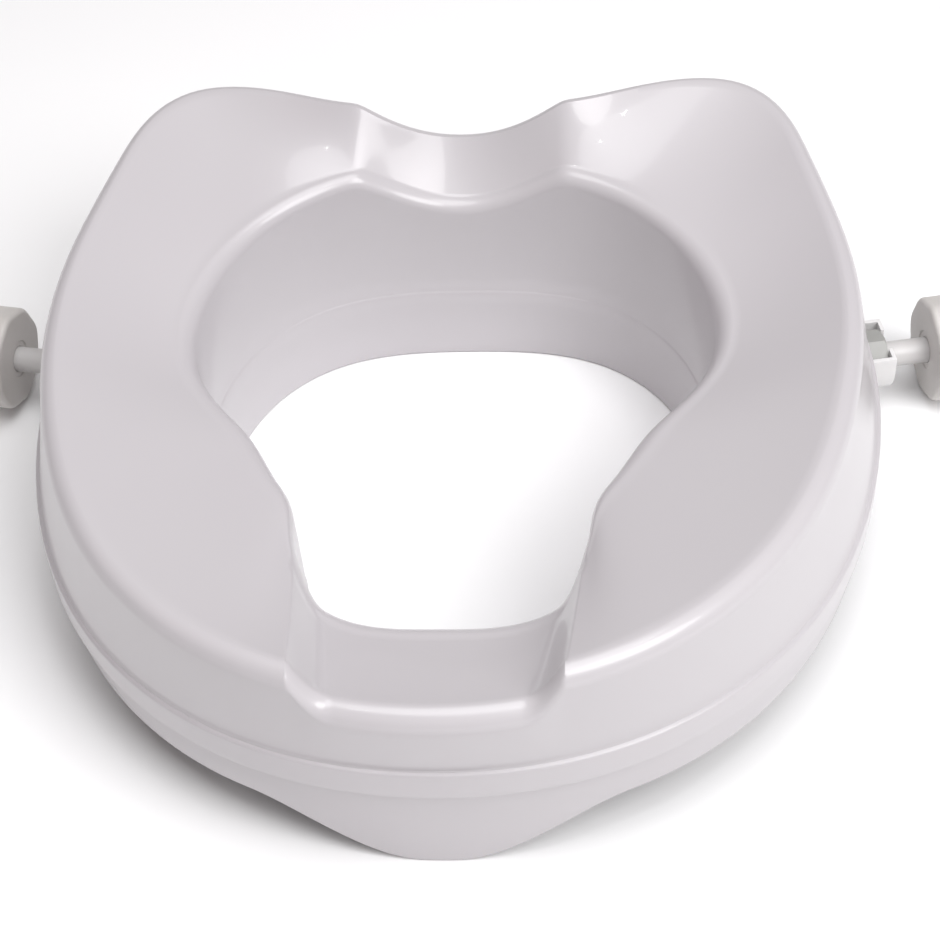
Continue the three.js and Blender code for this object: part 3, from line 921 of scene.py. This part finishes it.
def seat_plastic(look):
    """Glossy white moulded plastic: faint mottling, soft waviness and a few hairline scuffs."""
    g = Graph("glossy white moulding")
    colour = look.seat_colour
    cloud = g.band(g.noise(7.0, 3.0), 0.3, 0.7)
    base = g.blend(cloud, tinted(colour, (0.985, 0.98, 0.985)), tinted(colour, (1, 1, 1)))
    hairs = g.noise(90.0, 2.0, 0.6, g.stretched((1.0, 9.0, 9.0)))
    places = g.band(g.noise(11.0, 1.0), 0.58, 0.7)
    scuffs = g.band(hairs, 0.62, 0.78) * places
    g.set(base_color=g.blend(scuffs * 0.15, base, tinted(colour, (0.93, 0.92, 0.91))))
    haze = g.band(g.noise(16.0, 4.0, 0.6), 0.35, 0.75)
    g.set(roughness=look.seat_roughness + haze * 0.04 + scuffs * 0.08)
    g.set(ior=1.5, coat_weight=0.3, coat_roughness=0.07)
    waves = g.noise(28.0, 2.0) * 0.8 + g.noise(420.0, 2.0) * 0.04
    g.bump(waves, 0.00022, 0.35)
    return g.material


def satin_plastic(name, colour, roughness, grain=900.0):
    """Satin moulded plastic with a fine eroded grain and slightly uneven tone."""
    g = Graph(name)
    cloud = g.band(g.noise(45.0, 3.0), 0.3, 0.7)
    g.set(base_color=g.blend(cloud, tinted(colour, (0.95, 0.95, 0.94)), tinted(colour, (1, 1, 1))))
    g.set(roughness=roughness + g.noise(160.0, 3.0) * 0.1 - 0.05, ior=1.48)
    g.bump(g.noise(grain, 2.0), 0.00004, 0.5)
    return g.material


def zinc_steel(look):
    g = Graph("zinc plated steel")
    cloud = g.band(g.noise(220.0, 3.0), 0.35, 0.65)
    colour = look.steel_colour
    g.set(base_color=g.blend(cloud, tinted(colour, (0.8, 0.82, 0.86)), tinted(colour, (1, 1, 1))))
    g.set(metallic=1.0, roughness=0.28 + cloud * 0.14)
    g.bump(g.noise(1500.0, 2.0), 0.00003, 0.4)
    return g.material


def pad_rubber(look):
    g = Graph("grey rubber")
    dust = g.band(g.noise(120.0, 4.0, 0.65), 0.5, 0.75)
    colour = look.rubber_colour
    g.set(base_color=g.blend(dust * 0.4, tinted(colour, (1, 1, 1)), tinted(colour, (1.9, 1.9, 1.85))))
    g.set(roughness=0.72 + dust * 0.15)
    g.bump(g.noise(1300.0, 3.0), 0.00008, 0.6)
    return g.material


def pale_floor():
    g = Graph("pale floor")
    cloud = g.noise(3.0, 3.0)
    base = g.blend(cloud, (0.93, 0.93, 0.935, 1), (0.955, 0.955, 0.955, 1))
    g.set(base_color=base, roughness=0.75)
    return g.material


MATERIALS = {}


def material(name):
    """The named finish, made once."""
    look = bpy.context.scene.raised_seat_finishes
    knob_colour = look.knob_colour
    makers = {
        "seat_plastic": lambda: seat_plastic(look),
        "bracket_plastic": lambda: satin_plastic("satin white plastic", look.bracket_colour, 0.34),
        "knob_plastic": lambda: satin_plastic("off-white knob plastic", knob_colour, 0.42, 700.0),
        "screw_plastic": lambda: satin_plastic("pale shank plastic", look.screw_colour, 0.36),
        "grey_plastic": lambda: satin_plastic("grey nut plastic", look.nut_colour, 0.4),
        "steel": lambda: zinc_steel(look),
        "rubber": lambda: pad_rubber(look),
        "floor": pale_floor,
    }
    if name not in MATERIALS:
        MATERIALS[name] = makers[name]()
    return MATERIALS[name]


class SeatSizes(bpy.types.PropertyGroup):
    wall: FloatProperty(
        name="Wall", description="Thickness of the moulding", default=0.0036, unit="LENGTH"
    )
    outer_round: FloatProperty(
        name="Outer round", description="Radius of the top's outer edge", default=0.008, unit="LENGTH"
    )
    inner_round: FloatProperty(
        name="Inner round", description="Radius of the opening's edge", default=0.01, unit="LENGTH"
    )
    dish_depth: FloatProperty(
        name="Dish",
        description="Fall of the top from its rim to the opening",
        default=0.0211,
        unit="LENGTH",
    )
    band_height: FloatProperty(
        name="Band height", description="Height of the flange band", default=0.0145, unit="LENGTH"
    )
    front_dip_depth: FloatProperty(
        name="Front dip", description="Depth of the dip in front", default=0.0158, unit="LENGTH"
    )
    front_dip_half_width: FloatProperty(
        name="Front dip half width", description="Half width of it", default=0.0575, unit="LENGTH"
    )
    back_dip_depth: FloatProperty(
        name="Back dip", description="Depth of the dip at the back", default=0.0233, unit="LENGTH"
    )
    back_dip_half_width: FloatProperty(
        name="Back dip half width", description="Half width of it", default=0.0486, unit="LENGTH"
    )


class ClampSizes(bpy.types.PropertyGroup):
    knob_radius: FloatProperty(
        name="Knob radius", description="Mean radius of the hand knob", default=0.0246, unit="LENGTH"
    )
    knob_lobes: IntProperty(name="Knob lobes", description="Number of shallow lobes", default=8)
    lobe_height: FloatProperty(
        name="Lobe height", description="Swell of a lobe", default=0.0005, unit="LENGTH"
    )
    shank_radius: FloatProperty(
        name="Shank radius", description="Radius of the smooth shank", default=0.0062, unit="LENGTH"
    )
    thread_radius: FloatProperty(
        name="Thread radius", description="Outer radius of the thread", default=0.00575, unit="LENGTH"
    )
    thread_pitch: FloatProperty(
        name="Thread pitch", description="Travel in one turn", default=0.003, unit="LENGTH"
    )
    nut_corner: FloatProperty(
        name="Nut corner", description="Radius over the nut's corners", default=0.0127, unit="LENGTH"
    )


def colour_property(name, description, default):
    return FloatVectorProperty(
        name=name, description=description, default=default, size=4, subtype="COLOR", min=0, max=1
    )


class Finishes(bpy.types.PropertyGroup):
    seat_colour: colour_property("Seat", "White of the moulding", (0.52, 0.498, 0.514, 1))
    bracket_colour: colour_property("Brackets", "White of the brackets and feet", (0.74, 0.73, 0.73, 1))
    knob_colour: colour_property("Knobs", "Off-white of the hand knobs", (0.6, 0.575, 0.555, 1))
    screw_colour: colour_property("Screws", "Pale grey of the shanks", (0.56, 0.545, 0.54, 1))
    nut_colour: colour_property("Nuts", "Grey of the nuts", (0.36, 0.36, 0.345, 1))
    steel_colour: colour_property("Fixing screws", "Plated steel", (0.6, 0.61, 0.62, 1))
    rubber_colour: colour_property("Rubber", "Pads and foot faces", (0.06, 0.062, 0.066, 1))
    seat_roughness: FloatProperty(
        name="Seat roughness", description="Gloss of the moulding", default=0.29, subtype="FACTOR"
    )


class RAISEDSEAT_OT_moulding(bpy.types.Operator):
    """Builds the seat moulding"""

    bl_idname = "raised_seat.moulding"
    bl_label = "Seat moulding"

    def execute(self, context):
        sizes = context.scene.raised_seat_sizes
        seat = loft("seat_moulding", moulding_section, MOULDING_RUNS, sizes)
        finish_piece(seat, "seat_moulding", material("seat_plastic"), 38)
        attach(seat, "seat")
        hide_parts("seat_shell")
        return {"FINISHED"}


class RAISEDSEAT_OT_ribs(bpy.types.Operator):
    """Builds the ribs, pad plates and screw bosses under the seat"""

    bl_idname = "raised_seat.ribs"
    bl_label = "Ribs and bosses"

    def execute(self, context):
        sizes = context.scene.raised_seat_sizes
        height = 2 * OUTER_EDGE_Z[2]
        plates, feet, pilots = [], [], []
        for sign in (-1, 1):
            for angle in RIB_ANGLES:
                half = RIB_THICK / 2
                low = (-half, -RIB_CENTRE_RADIUS - RIB_LENGTH / 2, RIB_BASE_Z - RIB_TRIM)
                high = (half, -RIB_CENTRE_RADIUS + RIB_LENGTH / 2, height)
                plates.append(block(low, high))
                settle(plates[-1], radial_matrix(sign * angle))
            for angle in PADDED_RIBS:
                feet.append(pad_block(PAD_PLATE, REST_Z + PAD[2] + GAP, sign * angle))
                soften(feet[-1], 0.5, 2)
        for side in SIDES:
            for hand in (-1, 1):
                spot = (FIXING_ALONG, hand * FIXING_ACROSS)
                plates.append(rod(BOSS_RADIUS, TAB_TOP + GAP, height, spot))
                settle(plates[-1], clamp_matrix(side))
                pilots.append(rod(PILOT_RADIUS, 0, TAB_TOP + FIXING_LENGTH, spot, sides=20))
                settle(pilots[-1], clamp_matrix(side))
        deselect()
        for plate in plates:
            plate.select_set(True)
        bpy.context.view_layer.objects.active = plates[0]
        bpy.ops.object.join()
        ribs = plates[0]
        fill = loft("rib_fill", fill_section, RIB_FILL_RUNS, sizes)
        combine(ribs, [fill], "INTERSECT")
        combine(ribs, feet, "UNION")
        combine(ribs, pilots, "DIFFERENCE")
        finish_piece(ribs, "seat_ribs", material("seat_plastic"), 35)
        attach(ribs, "seat")
        return {"FINISHED"}


class RAISEDSEAT_OT_rest_pads(bpy.types.Operator):
    """Builds the four rubber pads that rest on the bowl"""

    bl_idname = "raised_seat.rest_pads"
    bl_label = "Rest pads"

    def execute(self, context):
        for sign, side in zip((-1, 1), SIDES):
            for angle, (end, radius) in PADDED_RIBS.items():
                pad = pad_block(PAD, REST_Z, sign * angle)
                soften(pad, 0.7, 3)
                grooves = []
                for offset in GROOVE_OFFSETS:
                    middle = offset - radius
                    place = (middle, REST_Z - GROOVE_DROP)
                    groove = rod(GROOVE_RADIUS, -GROOVE_REACH, GROOVE_REACH, place, "X", 16)
                    settle(groove, radial_matrix(sign * angle))
                    grooves.append(groove)
                combine(pad, grooves, "DIFFERENCE")
                name = f"rest_pad_{end}_{side}"
                finish_piece(pad, name + "_look", material("rubber"), 40)
                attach(pad, "seat")
                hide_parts(name)
        return {"FINISHED"}


class RAISEDSEAT_OT_brackets(bpy.types.Operator):
    """Builds the open cradle, leg and fixing tab on each side"""

    bl_idname = "raised_seat.brackets"
    bl_label = "Brackets"

    def execute(self, context):
        for side in SIDES:
            bracket = bracket_solid()
            settle(bracket, clamp_matrix(side))
            finish_piece(bracket, f"{side}_bracket_look", material("bracket_plastic"), 32)
            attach(bracket, "seat")
            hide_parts(f"{side}_bracket")
        return {"FINISHED"}


class RAISEDSEAT_OT_bracket_screws(bpy.types.Operator):
    """Builds the cross-head screws that hold the brackets"""

    bl_idname = "raised_seat.bracket_screws"
    bl_label = "Bracket screws"

    def execute(self, context):
        for side in SIDES:
            for number, hand in enumerate((-1, 1), start=1):
                screw = fixing_screw(hand)
                settle(screw, clamp_matrix(side))
                name = f"{side}_bracket_screw_{number if side == 'right' else 3 - number}"
                finish_piece(screw, name + "_look", material("steel"), 35)
                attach(screw, "seat")
                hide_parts(name)
        return {"FINISHED"}


class RAISEDSEAT_OT_nuts(bpy.types.Operator):
    """Builds the hexagon nut in each cradle"""

    bl_idname = "raised_seat.nuts"
    bl_label = "Nuts"

    def execute(self, context):
        corner = mm(context.scene.raised_seat_clamp.nut_corner)
        for side in SIDES:
            nut = nut_solid(corner, NUT_TURN if side == "right" else -NUT_TURN)
            settle(nut, clamp_matrix(side))
            finish_piece(nut, f"{side}_nut_look", material("grey_plastic"), 30)
            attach(nut, "seat")
            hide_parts(f"{side}_nut")
        return {"FINISHED"}


class RAISEDSEAT_OT_clamp_screws(bpy.types.Operator):
    """Builds the threaded screw with its smooth shank on each side"""

    bl_idname = "raised_seat.clamp_screws"
    bl_label = "Clamp screws"

    def execute(self, context):
        for side in SIDES:
            screw = clamp_screw(context.scene.raised_seat_clamp)
            settle(screw, spindle_matrix(side))
            finish_piece(screw, f"{side}_screw_look", material("screw_plastic"), 35)
            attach(screw, f"{side}_knob_set")
            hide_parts(f"{side}_screw")
        return {"FINISHED"}


class RAISEDSEAT_OT_knobs(bpy.types.Operator):
    """Builds the hand knob on each side"""

    bl_idname = "raised_seat.knobs"
    bl_label = "Hand knobs"

    def execute(self, context):
        for side in SIDES:
            knob = knob_solid(context.scene.raised_seat_clamp)
            settle(knob, spindle_matrix(side))
            finish_piece(knob, f"{side}_knob_look", material("knob_plastic"), 40)
            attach(knob, f"{side}_knob_set")
            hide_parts(f"{side}_knob")
        return {"FINISHED"}


class RAISEDSEAT_OT_feet(bpy.types.Operator):
    """Builds the pressure foot and its rubber face on each side"""

    bl_idname = "raised_seat.feet"
    bl_label = "Pressure feet"

    def execute(self, context):
        for side in SIDES:
            foot = turned("foot", FOOT_PROFILE)
            soften(foot, 0.4, 2)
            face = turned("foot_face", FOOT_FACE_PROFILE)
            soften(face, 0.5, 3)
            for piece, node, slot in ((foot, "foot", "bracket_plastic"), (face, "foot_pad", "rubber")):
                settle(piece, spindle_matrix(side))
                finish_piece(piece, f"{side}_{node}_look", material(slot), 35)
                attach(piece, f"{side}_foot_set")
                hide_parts(f"{side}_{node}")
        return {"FINISHED"}


class RAISEDSEAT_OT_stage(bpy.types.Operator):
    """Builds the floor, the soft studio light and the camera"""

    bl_idname = "raised_seat.stage"
    bl_label = "Stage"

    def execute(self, context):
        deselect()
        bpy.ops.mesh.primitive_plane_add(size=FLOOR_SIZE, location=(0, 0, -FLOOR_DROP))
        floor = bpy.context.object
        bpy.ops.object.transform_apply(location=True, rotation=True, scale=True)
        floor.name = "floor"
        floor.data.materials.append(material("floor"))
        world = bpy.data.worlds.new("studio")
        context.scene.world = world
        world.use_nodes = True
        background = world.node_tree.nodes["Background"]
        background.inputs["Color"].default_value = WORLD_COLOUR
        background.inputs["Strength"].default_value = WORLD_STRENGTH
        context.scene.view_settings.view_transform = "Standard"
        for light in LIGHTS:
            area_light(*light)
        for x, y in LAMPS:
            area_light("lamp", (x, y, LAMP_Z), LAMP_SIZE, LAMP_WATTS, (1, 1, 1))
        camera = bpy.data.objects.new("camera", bpy.data.cameras.new("camera"))
        context.scene.collection.objects.link(camera)
        camera.data.sensor_width = 36
        camera.data.lens = CAMERA_LENS
        camera.matrix_world = camera_matrix()
        context.scene.camera = camera
        return {"FINISHED"}


OPERATORS = (
    RAISEDSEAT_OT_moulding,
    RAISEDSEAT_OT_ribs,
    RAISEDSEAT_OT_rest_pads,
    RAISEDSEAT_OT_brackets,
    RAISEDSEAT_OT_bracket_screws,
    RAISEDSEAT_OT_nuts,
    RAISEDSEAT_OT_clamp_screws,
    RAISEDSEAT_OT_knobs,
    RAISEDSEAT_OT_feet,
    RAISEDSEAT_OT_stage,
)


class RAISEDSEAT_PT_panel(bpy.types.Panel):
    bl_idname = "RAISEDSEAT_PT_panel"
    bl_label = "Raised seat"
    bl_space_type = "VIEW_3D"
    bl_region_type = "UI"
    bl_category = "Raised seat"

    def draw(self, context):
        for group in ("raised_seat_sizes", "raised_seat_clamp", "raised_seat_finishes"):
            settings = getattr(context.scene, group)
            box = self.layout.box()
            for name in settings.bl_rna.properties.keys():
                if name not in ("rna_type", "name"):
                    box.prop(settings, name)
        for operator in OPERATORS:
            self.layout.operator(operator.bl_idname)


CLASSES = (SeatSizes, ClampSizes, Finishes, *OPERATORS, RAISEDSEAT_PT_panel)


def register():
    for cls in CLASSES:
        bpy.utils.register_class(cls)
    bpy.types.Scene.raised_seat_sizes = PointerProperty(type=SeatSizes)
    bpy.types.Scene.raised_seat_clamp = PointerProperty(type=ClampSizes)
    bpy.types.Scene.raised_seat_finishes = PointerProperty(type=Finishes)


def unregister():
    del bpy.types.Scene.raised_seat_finishes
    del bpy.types.Scene.raised_seat_clamp
    del bpy.types.Scene.raised_seat_sizes
    for cls in reversed(CLASSES):
        bpy.utils.unregister_class(cls)


def main():
    register()
    bpy.ops.raised_seat.moulding()
    bpy.ops.raised_seat.ribs()
    bpy.ops.raised_seat.rest_pads()
    bpy.ops.raised_seat.brackets()
    bpy.ops.raised_seat.bracket_screws()
    bpy.ops.raised_seat.nuts()
    bpy.ops.raised_seat.clamp_screws()
    bpy.ops.raised_seat.knobs()
    bpy.ops.raised_seat.feet()
    bpy.ops.raised_seat.stage()
    bpy.context.view_layer.update()


if __name__ == "__main__":
    main()
